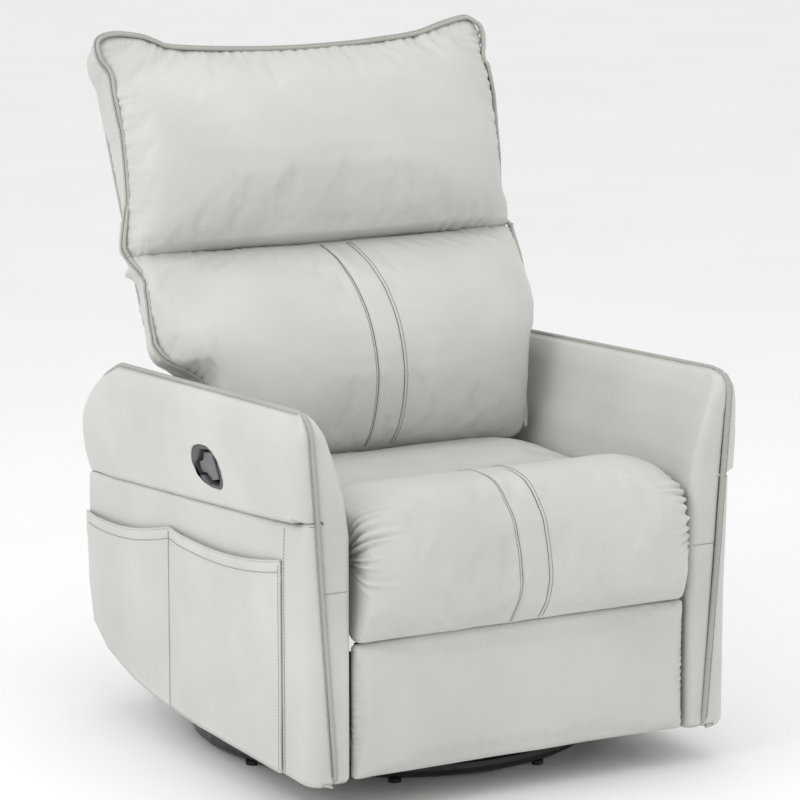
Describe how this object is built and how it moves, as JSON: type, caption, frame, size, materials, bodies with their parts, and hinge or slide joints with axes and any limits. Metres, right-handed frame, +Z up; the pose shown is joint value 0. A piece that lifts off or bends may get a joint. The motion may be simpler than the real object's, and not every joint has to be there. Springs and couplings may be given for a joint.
{
  "type": "glider nursery chair",
  "caption": "Upholstered swivel glider recliner with a high winged back, gathered seat front, fold-out footrest, side pocket and a round steel floor base.",
  "frame": {"origin": "centre of the bounding box on the floor, 17 mm behind the swivel axis", "axes": "+Z up, -Y the way the sitter faces, +X to the sitter's left"},
  "size_m": [0.7508, 0.8978, 1.0768],
  "materials": {
    "leather": "satin",
    "black_steel": "satin",
    "zinc_steel": "satin",
    "black_rubber": "matte",
    "plywood": "matte",
    "bezel_plastic": "satin",
    "lever_plastic": "satin",
    "cable_sheath": "satin"
  },
  "bodies": {
    "base": {"base_ring": "black_steel", "base_cross": "black_steel", "foot_1": "black_rubber", "foot_2": "black_rubber", "foot_3": "black_rubber", "foot_4": "black_rubber", "foot_5": "black_rubber", "foot_6": "black_rubber", "foot_7": "black_rubber", "foot_8": "black_rubber", "swivel_lower_plate": "zinc_steel"},
    "turntable": {"swivel_upper_plate": "zinc_steel", "glider_bed": "black_steel", "rocker_bracket_left": "black_steel", "rocker_bracket_right": "black_steel"},
    "swing_rear_left": {"swing_link_rear_left": "zinc_steel"},
    "swing_rear_right": {"swing_link_rear_right": "zinc_steel"},
    "swing_front_left": {"swing_link_front_left": "zinc_steel"},
    "swing_front_right": {"swing_link_front_right": "zinc_steel"},
    "seat_frame": {"carriage_plate_left": "black_steel", "carriage_plate_right": "black_steel", "mechanism_plate_left": "zinc_steel", "mechanism_plate_right": "zinc_steel", "seat_deck": "plywood", "seat_springs": "zinc_steel", "seat_cushion": "leather", "rear_panel": "leather", "arm_frame_left": "plywood", "arm_frame_right": "plywood", "arm_inner_pad_left": "leather", "arm_inner_pad_right": "leather", "arm_lower_cover_left": "leather", "arm_lower_cover_right": "leather", "arm_upper_cover_left": "leather", "arm_upper_cover_right": "leather", "side_pocket": "leather", "handle_bezel": "bezel_plastic", "release_cable": "cable_sheath"},
    "release_lever": {"release_lever": "lever_plastic"},
    "latch_pawl": {"latch_pawl": "zinc_steel"},
    "drive_links": {"drive_link_left": "zinc_steel", "drive_link_right": "zinc_steel", "torque_tube": "black_steel"},
    "control_links": {"control_link_left": "zinc_steel", "control_link_right": "zinc_steel"},
    "front_links": {"front_link_left": "zinc_steel", "front_link_right": "zinc_steel"},
    "stay_links": {"stay_link_left": "zinc_steel", "stay_link_right": "zinc_steel"},
    "footrest": {"footrest_bracket_left": "zinc_steel", "footrest_bracket_right": "zinc_steel", "footrest_board": "plywood", "footrest_pad": "leather"},
    "back": {"lumbar_cushion": "leather", "head_cushion": "leather", "back_frame": "plywood", "back_cover": "leather", "back_bracket_left": "zinc_steel", "back_bracket_right": "zinc_steel"}
  },
  "joints": [
    {"name": "swivel", "type": "hinge", "parent": "base", "child": "turntable", "pos_m": [0, -0.017, 0.044], "axis": [0, 0, 1], "continuous": true},
    {"name": "glide", "type": "hinge", "parent": "turntable", "child": "swing_rear_left", "pos_m": [0, 0.093, 0.158], "axis": [1, 0, 0], "range_deg": [-20, 20]},
    {"name": "carriage_level", "type": "hinge", "parent": "swing_rear_left", "child": "seat_frame", "pos_m": [0, 0.093, 0.074], "axis": [1, 0, 0], "range_deg": [-20.5, 20.5]},
    {"name": "swing_rear_right_pivot", "type": "hinge", "parent": "turntable", "child": "swing_rear_right", "pos_m": [0, 0.093, 0.158], "axis": [1, 0, 0], "range_deg": [-20.5, 20.5]},
    {"name": "swing_front_left_pivot", "type": "hinge", "parent": "turntable", "child": "swing_front_left", "pos_m": [0, -0.127, 0.158], "axis": [1, 0, 0], "range_deg": [-20.5, 20.5]},
    {"name": "swing_front_right_pivot", "type": "hinge", "parent": "turntable", "child": "swing_front_right", "pos_m": [0, -0.127, 0.158], "axis": [1, 0, 0], "range_deg": [-20.5, 20.5]},
    {"name": "back_recline", "type": "hinge", "parent": "seat_frame", "child": "back", "pos_m": [0, 0.133, 0.325], "axis": [-1, 0, 0], "range_deg": [0, 35]},
    {"name": "footrest_extend", "type": "hinge", "parent": "seat_frame", "child": "drive_links", "pos_m": [0, -0.226, 0.283], "axis": [-1, 0, 0], "range_deg": [0, 90]},
    {"name": "control_pivot", "type": "hinge", "parent": "seat_frame", "child": "control_links", "pos_m": [0, -0.141, 0.283], "axis": [-1, 0, 0], "range_deg": [-0.5, 90.5]},
    {"name": "front_link_pivot", "type": "hinge", "parent": "drive_links", "child": "front_links", "pos_m": [0, -0.13514, 0.08814], "axis": [-1, 0, 0], "range_deg": [-90.5, 0.5]},
    {"name": "stay_link_pivot", "type": "hinge", "parent": "drive_links", "child": "stay_links", "pos_m": [0, -0.15204, 0.1244], "axis": [-1, 0, 0], "range_deg": [-90.5, 0.5]},
    {"name": "footrest_pivot", "type": "hinge", "parent": "front_links", "child": "footrest", "pos_m": [0, -0.3523, 0.19033], "axis": [-1, 0, 0], "range_deg": [-0.5, 90.5]},
    {"name": "release_lever_pull", "type": "hinge", "parent": "seat_frame", "child": "release_lever", "pos_m": [-0.3683, -0.099, 0.474], "axis": [0, -0.5888, -0.8083], "range_deg": [0, 22], "stiffness_Nm_per_rad": 0.5, "springref_deg": -11.46},
    {"name": "latch_release", "type": "hinge", "parent": "seat_frame", "child": "latch_pawl", "pos_m": [-0.28275, -0.087, 0.285], "axis": [-1, 0, 0], "range_deg": [-0.5, 11.5]}
  ],
  "couplings": [
    {"joint": "carriage_level", "follows": "glide", "ratio": -1},
    {"joint": "swing_rear_right_pivot", "follows": "glide", "ratio": 1},
    {"joint": "swing_front_left_pivot", "follows": "glide", "ratio": 1},
    {"joint": "swing_front_right_pivot", "follows": "glide", "ratio": 1},
    {"joint": "control_pivot", "follows": "footrest_extend", "ratio": 1},
    {"joint": "front_link_pivot", "follows": "footrest_extend", "ratio": -1},
    {"joint": "stay_link_pivot", "follows": "footrest_extend", "ratio": -1},
    {"joint": "footrest_pivot", "follows": "footrest_extend", "ratio": 1},
    {"joint": "latch_release", "follows": "release_lever_pull", "ratio": 0.5}
  ]
}
